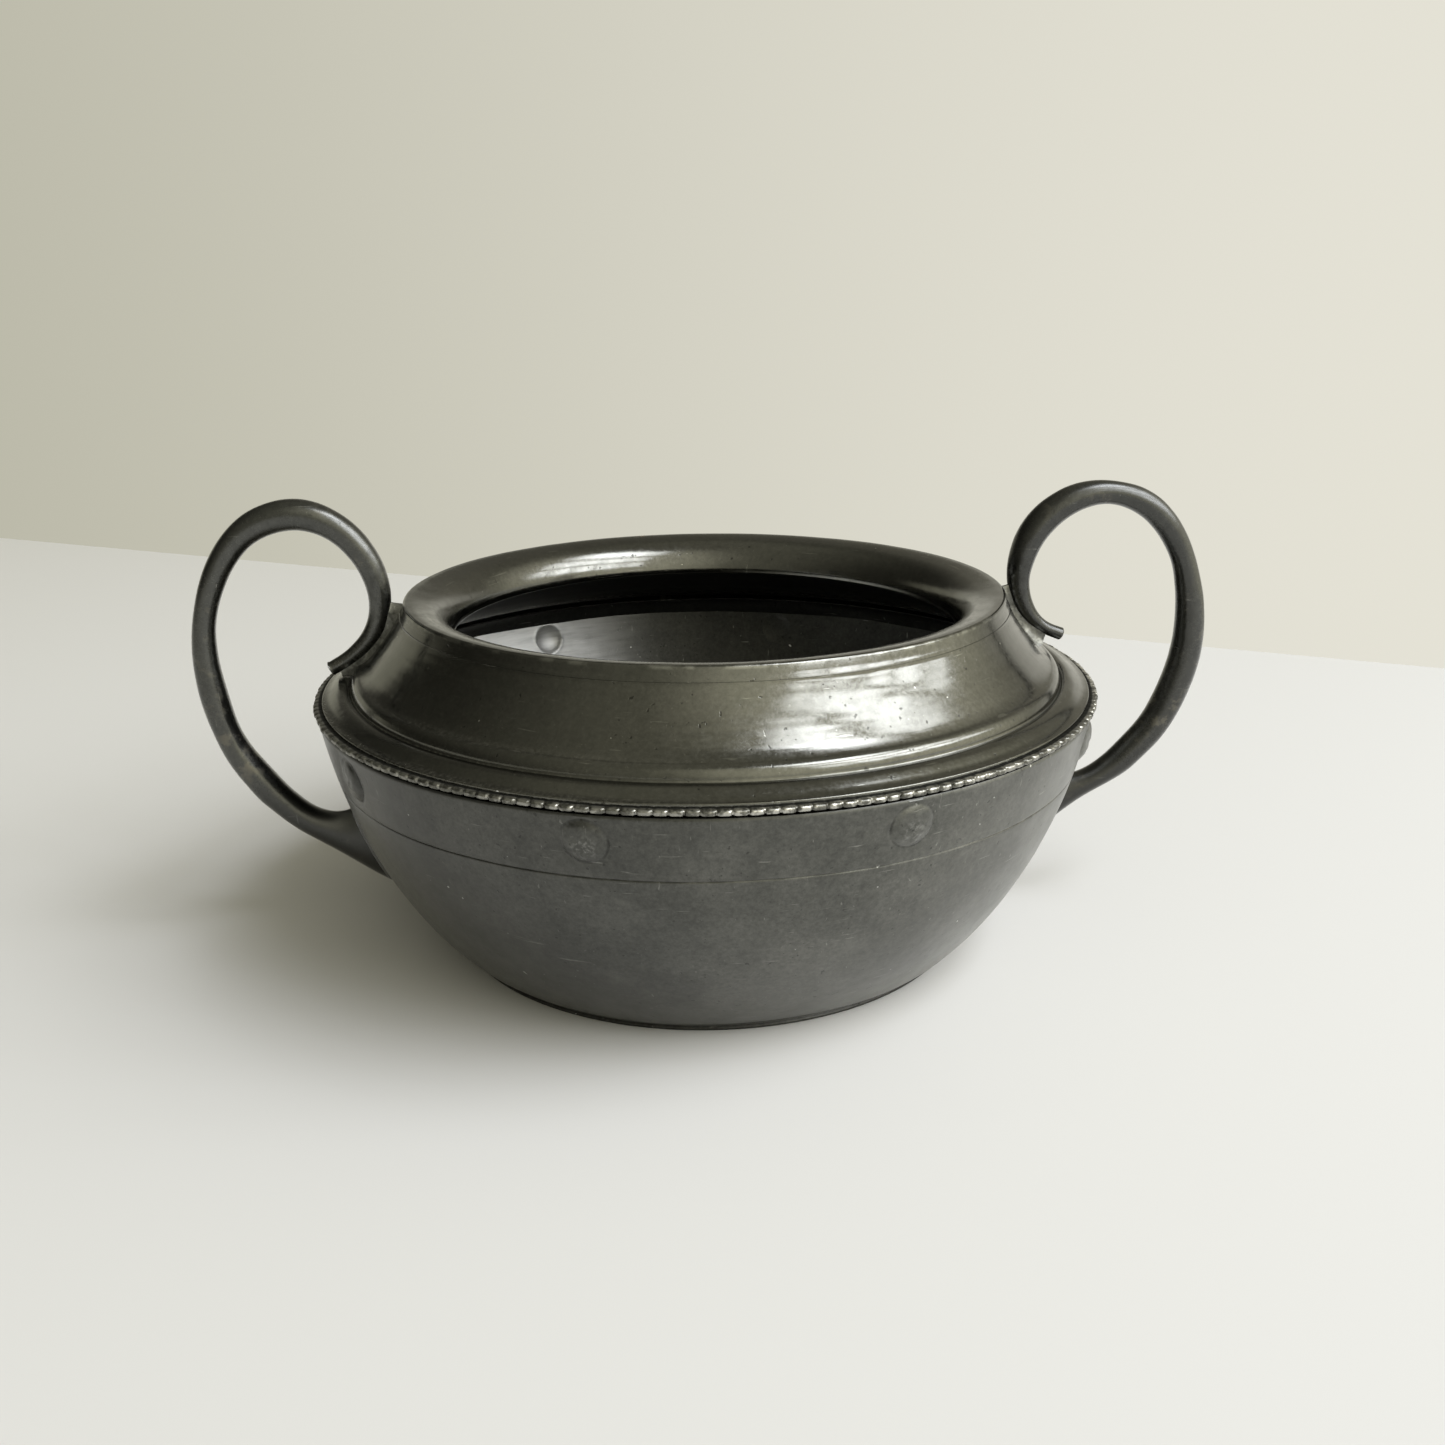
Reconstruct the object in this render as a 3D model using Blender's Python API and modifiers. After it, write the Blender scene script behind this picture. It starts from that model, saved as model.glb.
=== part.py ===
"""A two-handled pewter sugar bowl: an open bowl with a flared shoulder, a turned-in mouth rim,
a beaded wire round its widest point and two looped handles.

Lengths below are in millimetres and are turned into Blender's metres where points are made.
The bowl stands on Z = 0 with its axis on Z, and its handles lie along X.
"""

import math

import bpy

MM = 0.001
SEGMENTS = 48
GAP = 0.3
CHAMFER = 0.1

# The lower bowl's outside is part of an ellipse turned about Z.
SWELL_R, SWELL_Z = 18.5, 52.5
SWELL_WIDE, SWELL_TALL = 40.1, 60.6
WALL = 1.2
WALL_ACROSS = 1.38
BOWL_BASE_Z = 0.85
BOWL_TOP_Z = 38.0
BASE_EDGE_R = 39.45
FLOOR_FLAT_R = 35.5
FLOOR_EDGE_R = 39.6
FLOOR_CORNER_Z = BOWL_BASE_Z + WALL + 0.7

FOOT_R = 39.0
FOOT_INNER_R = 35.4
FOOT_TALL = BOWL_BASE_Z - GAP

BEAD_R = 58.0
BEAD_LOW_Z, BEAD_TOP_Z = 38.3, 39.25
BEAD_COUNT = 194
BEAD_CUT = 0.45
FLANGE_R = 56.7

RIM_R = 44.95
RIM_SEAT_Z = 51.0
RIM_TOP_Z = 52.7
MOUTH_R = 37.4

# The bosses were struck by hand, so they aren't spaced quite evenly, and their ring falls to the back.
BOSS_ANGLES = (21.0, 72.0, 117.9, 164.0, 210.0, 251.2, 291.8, 336.7)
BOSS_Z = 34.4
BOSS_FALL = 1.7
BOSS_R = 2.9
BOSS_TALL = 0.7
BOSS_SUNK = 0.05
DIMPLE_R = 2.6
DIMPLE_DEEP = 0.5

SEAM_TALL = 2.0
SEAM_WIDE = 1.1

# Handle centrelines, spur tip first, as (distance from the axis, height, rod diameter).
LEFT_ROD = (
    (55.8, 41.8, 2.1),
    (52.6, 43.6, 2.4),
    (49.3, 47.1, 2.8),
    (47.9, 52.0, 3.3),
    (49.2, 57.6, 3.7),
    (53.4, 62.8, 4.2),
    (59.5, 64.9, 4.6),
    (66.2, 62.7, 4.3),
    (71.1, 56.6, 3.6),
    (73.8, 48.4, 3.4),
    (73.7, 39.5, 3.9),
    (71.4, 30.3, 4.1),
    (66.5, 22.5, 4.5),
    (60.2, 17.6, 5.0),
    (54.6, 14.4, 5.4),
)
RIGHT_ROD = (
    (54.8, 43.8, 2.0),
    (51.8, 45.1, 2.0),
    (48.9, 48.4, 2.7),
    (47.7, 53.3, 3.6),
    (49.7, 59.8, 4.4),
    (54.5, 64.1, 4.2),
    (61.0, 65.5, 3.6),
    (67.9, 62.9, 3.9),
    (72.9, 56.1, 3.6),
    (75.2, 46.8, 4.4),
    (74.5, 37.8, 4.9),
    (71.1, 29.1, 4.7),
    (65.2, 22.3, 4.4),
    (59.6, 19.2, 4.8),
    (54.6, 16.6, 5.2),
)
# The foot's outline in the handle's plane; its inner side is cut to the bowl.
FOOT_OUTLINE = (
    (62.0, 19.4),
    (58.0, 18.6),
    (50.0, 18.8),
    (43.5, 12.0),
    (49.7, 8.0),
    (53.4, 10.7),
    (57.0, 13.4),
    (60.4, 15.6),
)
RIGHT_FOOT_LIFT = 2.4
FOOT_HALF_WIDE = 2.3
FOOT_ROUNDING = 1.2
HANDLE_STANDOFF = 1.25
BLOCK_INNER_R = 30.0

# Solder lies between these two distances from the wall, inside a flattened ball for each pad.
SOLDER_INNER, SOLDER_OUTER = 0.4, 0.85
TOP_PAD_CENTRE, TOP_PAD_HALF_SIZE, TOP_PAD_LEAN = (47.2, 47.8), (3.6, 2.5, 3.0), 36.0
FOOT_PAD_CENTRE, FOOT_PAD_HALF_SIZE, FOOT_PAD_LEAN = (50.3, 14.6), (3.6, 3.1, 6.6), 28.0
NECK_LINE = ((44.9, 50.1), (45.5, 49.2), (47.2, 46.8), (48.5, 45.3))

PEWTER_COLOURS = {
    "lower_bowl": (0.105, 0.105, 0.100, 1.0),
    "foot_ring": (0.070, 0.070, 0.066, 1.0),
    "shoulder_collar": (0.095, 0.095, 0.080, 1.0),
    "mouth_rim": (0.100, 0.100, 0.086, 1.0),
    "bead_wire": (0.260, 0.255, 0.225, 1.0),
    "seam_solder": (0.170, 0.170, 0.160, 1.0),
    "handle": (0.085, 0.088, 0.082, 1.0),
    "handle_solder": (0.200, 0.200, 0.185, 1.0),
}


def clear_scene():
    for old in list(bpy.data.objects):
        bpy.data.objects.remove(old, do_unlink=True)


def new_collection(name):
    collection = bpy.data.collections.new(name)
    bpy.context.scene.collection.children.link(collection)
    return collection


def pewter(name, look, roughness):
    material = bpy.data.materials.new(name)
    material.use_nodes = True
    shader = material.node_tree.nodes["Principled BSDF"]
    shader.inputs["Base Color"].default_value = PEWTER_COLOURS[look]
    shader.inputs["Metallic"].default_value = 1.0
    shader.inputs["Roughness"].default_value = roughness
    return material


def add_mesh(name, points, edges, faces, collection):
    mesh = bpy.data.meshes.new(name)
    mesh.from_pydata(points, edges, faces)
    piece = bpy.data.objects.new(name, mesh)
    collection.objects.link(piece)
    return piece


def arc(centre, radius, start, end, steps):
    """Points on an arc in the profile's plane, from start to end in degrees; radius is (across, up)."""
    points = []
    for step in range(steps + 1):
        angle = math.radians(start + (end - start) * step / steps)
        points.append((centre[0] + radius[0] * math.cos(angle), centre[1] + radius[1] * math.sin(angle)))
    return points


def heights(low, high, steps):
    return [low + (high - low) * step / steps for step in range(steps + 1)]


def bowl_radius(z):
    """The lower bowl's outer radius at height z."""
    return SWELL_R + SWELL_WIDE * math.sqrt(1.0 - ((z - SWELL_Z) / SWELL_TALL) ** 2)


def bowl_line(low, high, steps, out=0.0):
    """The bowl's outer wall from low to high, moved out by a distance across."""
    return [(bowl_radius(z) + out, z) for z in heights(low, high, steps)]


def turned(name, profile, collection, closed_loop=True):
    """A profile of (radius, height) points, turned about Z. Its outer side runs from top to bottom."""
    points = [(radius * MM, 0.0, height * MM) for radius, height in profile]
    edges = [(index, index + 1) for index in range(len(points) - 1)]
    if closed_loop:
        edges.append((len(points) - 1, 0))
    piece = add_mesh(name, points, edges, [], collection)
    screw = piece.modifiers.new("Turn", "SCREW")
    screw.axis = "Z"
    screw.angle = math.tau
    screw.steps = SEGMENTS
    screw.render_steps = SEGMENTS
    screw.use_merge_vertices = True
    screw.merge_threshold = 0.00001
    screw.use_smooth_shade = True
    return piece


def as_mesh(piece, collection, weld=0.000001):
    """Replaces an object by a plain mesh of what its curve or modifiers make."""
    bpy.context.view_layer.update()
    graph = bpy.context.evaluated_depsgraph_get()
    mesh = bpy.data.meshes.new_from_object(piece.evaluated_get(graph))
    name = piece.name
    place = piece.matrix_world.copy()
    bpy.data.objects.remove(piece, do_unlink=True)
    solid = bpy.data.objects.new(name, mesh)
    mesh.name = name
    collection.objects.link(solid)
    solid.matrix_world = place
    loose = solid.modifiers.new("Weld", "WELD")
    loose.merge_threshold = weld
    return solid


def boolean(piece, cutter, operation):
    step = piece.modifiers.new(operation.capitalize() + " " + cutter.name, "BOOLEAN")
    step.operation = operation
    step.solver = "EXACT"
    step.object = cutter
    cutter.hide_render = True
    cutter.display_type = "WIRE"


def finish(piece, material):
    piece.data.materials.clear()
    piece.data.materials.append(material)


# ---- turned pieces -------------------------------------------------------------------------------


def lower_bowl_profile():
    floor_z = BOWL_BASE_Z + WALL
    floor = [(0.0, floor_z), (FLOOR_FLAT_R, floor_z), (FLOOR_EDGE_R, FLOOR_CORNER_Z)]
    inside = bowl_line(4.6, BOWL_TOP_Z, 7, -WALL_ACROSS)
    top_corner = [(bowl_radius(BOWL_TOP_Z) - CHAMFER, BOWL_TOP_Z)]
    outside = bowl_line(1.6, BOWL_TOP_Z - 0.4, 9)
    outside.reverse()
    base = [
        (BASE_EDGE_R, BOWL_BASE_Z + 0.2),
        (BASE_EDGE_R - 0.25, BOWL_BASE_Z),
        (0.0, BOWL_BASE_Z),
    ]
    return floor + inside + top_corner + outside + base


def foot_ring_profile():
    return [
        (FOOT_INNER_R, 0.0),
        (FOOT_INNER_R + 0.3, FOOT_TALL),
        (FOOT_R - CHAMFER, FOOT_TALL),
        (FOOT_R, FOOT_TALL - CHAMFER),
        (FOOT_R, CHAMFER),
        (FOOT_R - CHAMFER, 0.0),
    ]


def collar_outside():
    """From the neck's top edge down over the cove and the two rolls to the flange's edge."""
    wall = [(44.3, RIM_SEAT_Z - GAP), (45.5, 49.2), (47.2, 46.8), (49.3, 44.3)]
    cove = [(50.2, 43.35), (50.9, 42.75)]
    roll_one = [(51.5, 42.45), (52.1, 41.95), (52.45, 41.2)]
    groove = [(52.7, 40.75)]
    roll_two = [(53.3, 40.85), (54.4, 40.65), (55.3, 40.2)]
    flange = [(55.9, 39.75), (FLANGE_R, BEAD_TOP_Z + 0.1), (FLANGE_R, BEAD_LOW_Z)]
    return wall + cove + roll_one + groove + roll_two + flange


def collar_inside():
    """From the flange's seat on the bowl's edge up inside the shoulder and neck."""
    seat = [(54.9, BEAD_LOW_Z)]
    shoulder = [(54.0, 39.3), (52.0, 39.7), (51.2, 40.4), (50.2, 41.7), (48.6, 43.2)]
    neck = [(46.2, 46.0), (44.2, 48.7), (43.1, RIM_SEAT_Z - GAP)]
    return seat + shoulder + neck


def mouth_rim_profile():
    """A lip rolled in from a small outer bead; a spigot below it centres it in the neck."""
    spigot = [(42.2, 49.6), (41.0, 49.6)]
    under = [(40.9, 50.7), (39.3, 49.6), (38.4, 48.0), (38.3, 46.95)]
    inner_edge = [(37.9, 46.75), (MOUTH_R, 47.1)]
    crest_centre = (43.6, 47.4)
    crest_size = (crest_centre[0] - MOUTH_R, RIM_TOP_Z - crest_centre[1])
    roll_centre = (43.85, 51.95)
    roll_size = (RIM_R - roll_centre[0], RIM_TOP_Z - roll_centre[1])
    crest = arc(crest_centre, crest_size, 175.0, 90.0, 5)
    outer_roll = arc(roll_centre, roll_size, 70.0, -60.0, 3)
    seat = [(44.2, RIM_SEAT_Z), (42.4, RIM_SEAT_Z)]
    return spigot + under + inner_edge + crest + outer_roll + seat


def seam_solder_profile():
    """A fillet of solder inside, in the corner of the bowl's wall and the collar's seat."""
    top_z = BEAD_LOW_Z - GAP
    low_z = top_z - SEAM_TALL
    wall_r = bowl_radius(low_z) - WALL_ACROSS - GAP
    return [(wall_r, top_z), (wall_r, low_z), (wall_r - SEAM_WIDE, top_z)]


def make_bead_wire(collection):
    """A ring with a square section whose outer edge is cut in once between every two beads."""
    inner_r = FLANGE_R + GAP
    profile = [
        (inner_r, BEAD_LOW_Z),
        (inner_r, BEAD_TOP_Z),
        (BEAD_R, BEAD_TOP_Z - CHAMFER),
        (BEAD_R, BEAD_LOW_Z + CHAMFER),
    ]
    ring = turned("bead_wire", profile, collection)
    ring.modifiers["Turn"].steps = 2 * BEAD_COUNT
    ring.modifiers["Turn"].render_steps = 2 * BEAD_COUNT
    ring = as_mesh(ring, collection)
    for vertex in ring.data.vertices:
        radius = math.hypot(vertex.co.x, vertex.co.y)
        angle = math.atan2(vertex.co.y, vertex.co.x)
        is_gap = round(angle / math.tau * 2 * BEAD_COUNT) % 2
        if is_gap and radius > (BEAD_R - BEAD_CUT) * MM:
            vertex.co.x *= 1.0 - BEAD_CUT * MM / radius
            vertex.co.y *= 1.0 - BEAD_CUT * MM / radius
    return ring


# ---- bosses --------------------------------------------------------------------------------------


def boss_caps(name, radius, depth, inset, collection):
    """Flattened balls round the belt, each lying flat on the wall; inset moves them in from it."""
    balls = []
    for angle in BOSS_ANGLES:
        turn = math.radians(angle)
        middle_z = BOSS_Z - BOSS_FALL * (1.0 + math.sin(turn)) / 2
        slope = math.atan2(bowl_radius(middle_z + 1.0) - bowl_radius(middle_z - 1.0), 2.0)
        across = (bowl_radius(middle_z) - inset) * MM
        bpy.ops.mesh.primitive_uv_sphere_add(segments=10, ring_count=6, radius=1.0)
        ball = bpy.context.object
        ball.location = (across * math.cos(turn), across * math.sin(turn), middle_z * MM)
        ball.rotation_euler = (0.0, math.pi / 2 + slope, turn)
        ball.scale = (radius * MM, radius * MM, depth * MM)
        balls.append(ball)
    for ball in balls:
        ball.select_set(True)
    bpy.context.view_layer.objects.active = balls[0]
    bpy.ops.object.join()
    caps = bpy.context.object
    caps.name = name
    for holder in list(caps.users_collection):
        holder.objects.unlink(caps)
    collection.objects.link(caps)
    caps.select_set(False)
    return caps


def make_lower_bowl(collection, cutters):
    bowl = turned("lower_bowl", lower_bowl_profile(), collection, closed_loop=False)
    domes = boss_caps("boss_domes", BOSS_R, BOSS_TALL, BOSS_SUNK, cutters)
    dimples = boss_caps("boss_dimples", DIMPLE_R, DIMPLE_DEEP, WALL_ACROSS, cutters)
    boolean(bowl, domes, "UNION")
    boolean(bowl, dimples, "DIFFERENCE")
    return bowl


# ---- handles -------------------------------------------------------------------------------------


def make_rod(name, rod, side, collection):
    """The handle's bent rod as a smooth curve through its centreline; side is 1 for +X."""
    curve = bpy.data.curves.new(name, "CURVE")
    curve.dimensions = "3D"
    curve.resolution_u = 4
    curve.bevel_depth = MM / 2
    curve.bevel_resolution = 2
    curve.use_fill_caps = True
    spline = curve.splines.new("BEZIER")
    spline.bezier_points.add(len(rod) - 1)
    for knot, (radius, height, diameter) in zip(spline.bezier_points, rod):
        knot.co = (side * radius * MM, 0.0, height * MM)
        knot.radius = diameter
        knot.handle_left_type = "AUTO"
        knot.handle_right_type = "AUTO"
    piece = bpy.data.objects.new(name, curve)
    collection.objects.link(piece)
    return as_mesh(piece, collection)


def make_foot(name, side, lift, collection):
    """The wedge-shaped foot that spreads the rod's lower end down the bowl's wall."""
    curve = bpy.data.curves.new(name, "CURVE")
    curve.dimensions = "2D"
    curve.fill_mode = "BOTH"
    curve.extrude = FOOT_HALF_WIDE * MM
    spline = curve.splines.new("POLY")
    spline.points.add(len(FOOT_OUTLINE) - 1)
    spline.use_cyclic_u = True
    for point, (radius, height) in zip(spline.points, FOOT_OUTLINE):
        point.co = (side * radius * MM, (height + lift) * MM, 0.0, 1.0)
    piece = bpy.data.objects.new(name, curve)
    piece.rotation_euler = (math.pi / 2, 0.0, 0.0)
    collection.objects.link(piece)
    foot = as_mesh(piece, collection)
    edge = foot.modifiers.new("Edge", "BEVEL")
    edge.width = FOOT_ROUNDING * MM
    edge.segments = 2
    edge.limit_method = "ANGLE"
    edge.angle_limit = math.radians(50.0)
    return foot


def wall_cutters(cutters):
    """Solids of the collar and of the bowl, grown by the handles' stand-off."""
    above_rim = RIM_TOP_Z + 0.5
    top = [(BLOCK_INNER_R, above_rim), (RIM_R + 0.9, above_rim)]
    collar = [(radius + HANDLE_STANDOFF, z) for radius, z in collar_outside()]
    collar_block = turned("collar_block", top + collar + [(BLOCK_INNER_R, BOWL_TOP_Z)], cutters)
    low_z, high_z = 2.0, 36.0
    bowl = bowl_line(low_z, high_z, 10, HANDLE_STANDOFF)
    bowl.reverse()
    ends = [(BLOCK_INNER_R, low_z), (BLOCK_INNER_R, high_z)]
    bowl_block = turned("bowl_block", bowl + ends, cutters)
    return collar_block, bowl_block


def make_handle(name, rod, side, lift, blocks, collection, cutters):
    handle = make_rod(name, rod, side, collection)
    foot = make_foot(name + "_foot", side, lift, cutters)
    boolean(handle, foot, "UNION")
    for block in blocks:
        boolean(handle, block, "DIFFERENCE")
    return handle


def solder_pad(name, layer_line, centre, half_size, lean, side, collection, cutters):
    """A thin layer of solder on the wall, under the handle's end and a little wider than it."""
    inner = [(radius + SOLDER_INNER, z) for radius, z in layer_line]
    outer = [(radius + SOLDER_OUTER, z) for radius, z in layer_line]
    outer.reverse()
    pad = turned(name, inner + outer, collection)
    bpy.ops.mesh.primitive_uv_sphere_add(segments=16, ring_count=8, radius=1.0)
    blob = bpy.context.object
    blob.name = name + "_edge"
    blob.location = (side * centre[0] * MM, 0.0, centre[1] * MM)
    blob.rotation_euler = (0.0, side * math.radians(lean), 0.0)
    blob.scale = [half * MM for half in half_size]
    blob.select_set(False)
    for holder in list(blob.users_collection):
        holder.objects.unlink(blob)
    cutters.objects.link(blob)
    boolean(pad, blob, "INTERSECT")
    return pad


def main():
    clear_scene()
    parts = new_collection("sugar_bowl")
    cutters = new_collection("sugar_bowl_cutters")
    cutters.hide_render = True

    finish(make_lower_bowl(parts, cutters), pewter("lower_bowl", "lower_bowl", 0.42))
    finish(turned("foot_ring", foot_ring_profile(), parts), pewter("foot_ring", "foot_ring", 0.55))
    collar = turned("shoulder_collar", collar_inside() + collar_outside(), parts)
    finish(collar, pewter("shoulder_collar", "shoulder_collar", 0.30))
    finish(turned("mouth_rim", mouth_rim_profile(), parts), pewter("mouth_rim", "mouth_rim", 0.34))
    finish(make_bead_wire(parts), pewter("bead_wire", "bead_wire", 0.40))
    finish(turned("seam_solder", seam_solder_profile(), parts), pewter("seam_solder", "seam_solder", 0.50))

    blocks = wall_cutters(cutters)
    for label, side, rod, lift in (("left", -1, LEFT_ROD, 0.0), ("right", 1, RIGHT_ROD, RIGHT_FOOT_LIFT)):
        handle = make_handle(label + "_handle", rod, side, lift, blocks, parts, cutters)
        finish(handle, pewter(handle.name, "handle", 0.36))
        name = label + "_handle_top_solder"
        top = solder_pad(
            name, NECK_LINE, TOP_PAD_CENTRE, TOP_PAD_HALF_SIZE, TOP_PAD_LEAN, side, parts, cutters
        )
        finish(top, pewter(name, "handle_solder", 0.50))
        name = label + "_handle_foot_solder"
        wall = bowl_line(8.0 + lift, 21.0 + lift, 6)
        centre = (FOOT_PAD_CENTRE[0], FOOT_PAD_CENTRE[1] + lift)
        foot = solder_pad(name, wall, centre, FOOT_PAD_HALF_SIZE, FOOT_PAD_LEAN, side, parts, cutters)
        finish(foot, pewter(name, "handle_solder", 0.50))


main()
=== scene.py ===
"""The looks of a dark, aged pewter sugar bowl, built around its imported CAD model.

Shapes are worked out in millimetres and turned into metres where a mesh is made. A turned piece
is a profile of (distance from the axis, height) points, and the axis is Z.
"""

import math

import bmesh
import bpy
import numpy as np
from mathutils import Matrix, Vector, noise


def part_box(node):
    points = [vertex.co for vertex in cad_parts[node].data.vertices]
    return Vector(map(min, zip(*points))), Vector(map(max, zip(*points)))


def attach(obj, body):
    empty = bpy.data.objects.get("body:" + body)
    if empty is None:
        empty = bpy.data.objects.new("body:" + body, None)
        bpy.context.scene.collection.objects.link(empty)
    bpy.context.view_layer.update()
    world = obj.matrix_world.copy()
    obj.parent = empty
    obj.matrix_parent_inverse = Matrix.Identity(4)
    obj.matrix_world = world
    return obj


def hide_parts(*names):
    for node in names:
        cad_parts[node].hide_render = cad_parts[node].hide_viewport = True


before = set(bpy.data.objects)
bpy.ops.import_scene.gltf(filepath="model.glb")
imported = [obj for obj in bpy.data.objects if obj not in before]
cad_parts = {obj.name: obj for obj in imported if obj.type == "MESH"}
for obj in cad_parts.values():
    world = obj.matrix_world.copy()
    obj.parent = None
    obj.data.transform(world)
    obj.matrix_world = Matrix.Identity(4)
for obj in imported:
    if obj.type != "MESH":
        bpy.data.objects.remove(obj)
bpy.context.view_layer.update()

MM = 0.001
BODY = "root"


# ---- driving sizes, from the frame ---------------------------------------------------------------


def low(node):
    """A CAD node's lowest corner in millimetres."""
    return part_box(node)[0] / MM


def high(node):
    """A CAD node's highest corner in millimetres."""
    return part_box(node)[1] / MM


BEAD_R = high("bead_wire").x
BEAD_LOW = low("bead_wire").z
BEAD_TOP = high("bead_wire").z
FLANGE_R = high("shoulder_collar").x
NECK_TOP = high("shoulder_collar").z
RIM_R = high("mouth_rim").x
RIM_TOP = high("mouth_rim").z
BOWL_LOW = low("lower_bowl").z
BOWL_TOP = high("lower_bowl").z
FOOT_R = high("foot_ring").x
FOOT_TOP = high("foot_ring").z

# The belly is part of an ellipse turned about Z: its centre's distance and height, and its half sizes.
SWELL_R, SWELL_Z = BEAD_R - 39.5, BEAD_TOP + 13.25
SWELL_WIDE, SWELL_TALL = 40.1, 60.6
WALL_ACROSS = 1.38
MOUTH_R = RIM_R - 7.55

# The rim sits this far over the neck, and its uneven surface starts this far inside its outline.
RIM_GAP = 0.004
RIM_INSET = 0.008
BEAD_COUNT = 194
ROUND_STEPS = 360
FOOT_RING_WIDE = 3.6
BOSS_ANGLES = (21.0, 72.0, 117.9, 164.0, 210.0, 251.2, 291.8, 336.7)
BOSS_Z = BOWL_TOP - 3.6
BOSS_FALL = 1.7
BOSS_R = 2.95
BOSS_TALL = 0.66
DIMPLE_R = 2.6
DIMPLE_DEEP = 0.7
SCRIBED_Z = BOWL_TOP - 8.8

# Handle centrelines, spur tip first: distance from the axis, height, thickness of the rod.
LEFT_ROD = (
    (55.8, 41.8, 2.1),
    (52.6, 43.6, 2.4),
    (49.3, 47.1, 2.8),
    (47.9, 52.0, 3.3),
    (49.2, 57.6, 3.7),
    (53.4, 62.8, 4.2),
    (59.5, 64.9, 4.6),
    (66.2, 62.7, 4.3),
    (71.1, 56.6, 3.6),
    (73.8, 48.4, 3.4),
    (73.7, 39.5, 3.9),
    (71.4, 30.3, 4.1),
    (66.5, 22.5, 4.5),
)
RIGHT_ROD = (
    (54.8, 43.8, 2.0),
    (51.8, 45.1, 2.0),
    (48.9, 48.4, 2.7),
    (47.7, 53.3, 3.6),
    (49.7, 59.8, 4.4),
    (54.5, 64.1, 4.2),
    (61.0, 65.5, 3.6),
    (67.9, 62.9, 3.9),
    (72.9, 56.1, 3.6),
    (75.2, 46.8, 4.4),
    (74.5, 37.8, 4.9),
    (71.1, 29.1, 4.7),
    (65.2, 22.3, 4.4),
)
# The foot fans out from the rod to the wall. Each row is the upper edge's and the lower edge's point.
LEFT_FOOT = (
    ((61.4, 20.4), (63.4, 16.7)),
    ((59.3, 19.3), (60.4, 14.8)),
    ((57.6, 18.95), (57.0, 12.5)),
    ((56.5, 19.0), (53.6, 10.0)),
    ((55.7, 19.2), (51.2, 8.1)),
    ((54.9, 19.5), (49.6, 7.3)),
)
RIGHT_FOOT = (
    ((60.9, 21.7), (62.4, 18.3)),
    ((59.0, 20.9), (59.8, 16.9)),
    ((57.4, 20.7), (56.8, 14.8)),
    ((56.4, 20.9), (53.9, 12.4)),
    ((55.8, 21.3), (51.9, 10.6)),
    ((55.2, 21.8), (50.4, 9.7)),
)
FOOT_WIDE = (4.5, 4.5, 4.5, 4.6, 4.8, 5.0)
LEFT_SQUARENESS, RIGHT_SQUARENESS = 0.92, 1.0
# How often the stations are averaged with their neighbours, which eases the rod into its foot.
EASING_ROUNDS = 6
# The spur's cut end: how much of the rod's thickness is left, and how far out, from the tip inwards.
LEFT_SPUR_END = ((0.55, 0.30), (0.96, 0.26), (1.10, 0.12))
RIGHT_SPUR_END = ((0.45, 0.40), (0.80, 0.28), (1.0, 0.10))
# Solder between spur and neck, from the rim down: the point in the rod, the point in the wall, and the
# web's width at the rod, half way and at the wall.
LEFT_WEB = (
    ((46.9, 51.6), (44.6, 51.2), (0.7, 0.5, 0.8)),
    ((47.7, 50.5), (44.8, 50.3), (1.5, 1.2, 1.8)),
    ((48.3, 49.2), (45.2, 49.0), (2.0, 1.6, 2.4)),
    ((49.3, 47.3), (46.6, 47.1), (2.0, 1.6, 2.6)),
    ((50.9, 45.4), (48.6, 44.6), (2.0, 1.7, 3.0)),
    ((52.6, 43.8), (50.8, 42.6), (1.8, 1.8, 3.2)),
    ((54.0, 42.8), (53.0, 40.8), (1.5, 1.5, 2.6)),
    ((54.7, 42.4), (54.3, 40.4), (0.9, 0.9, 1.6)),
)
RIGHT_WEB = (
    ((46.9, 51.9), (44.6, 51.3), (0.7, 0.5, 0.8)),
    ((47.5, 50.8), (44.8, 50.4), (1.2, 0.9, 1.4)),
    ((48.2, 49.6), (45.2, 49.2), (1.3, 1.0, 1.4)),
    ((49.2, 47.9), (46.6, 47.1), (1.2, 0.9, 1.4)),
    ((50.4, 46.2), (48.2, 45.1), (1.2, 0.9, 1.5)),
    ((51.6, 45.0), (50.0, 43.0), (1.3, 1.1, 2.2)),
    ((52.6, 44.4), (51.8, 42.0), (1.0, 0.9, 2.0)),
)


# ---- camera, light and stage ---------------------------------------------------------------------

# Distances are in metres and angles in degrees. Azimuth goes from +X towards +Y.
HANDLE_TURN = 4.5
CAMERA_DISTANCE = 0.22281
CAMERA_ELEVATION = 17.764
CAMERA_ROLL = -0.565
CAMERA_AIM = (0.00242, 0.0, 0.03127)
LIGHT_DISTANCE = 1.2
WINDOW_COLUMNS = 5
WINDOW_TURN = (-62.0, 4.0)
WINDOW_RISES = (26.0, 42.5, 60.0)
PANE_ANGLES = (9.0, 12.5)
WINDOW_RADIANCE = 7.5
WINDOW_COLOUR = (0.95, 0.98, 1.08)
ROOM_TURN = -35.0
ROOM_DIM, ROOM_MIDDLE, ROOM_BRIGHT = (0.06, 0.058, 0.046), (0.40, 0.39, 0.31), (1.60, 1.55, 1.25)
CEILING = (0.36, 0.35, 0.28)
BEHIND_LEFT, BEHIND_RIGHT = (0.07, 0.068, 0.055), (0.42, 0.40, 0.32)
WALL_LEFT, WALL_RIGHT = (0.44, 0.43, 0.34), (0.79, 0.77, 0.68)
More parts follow.
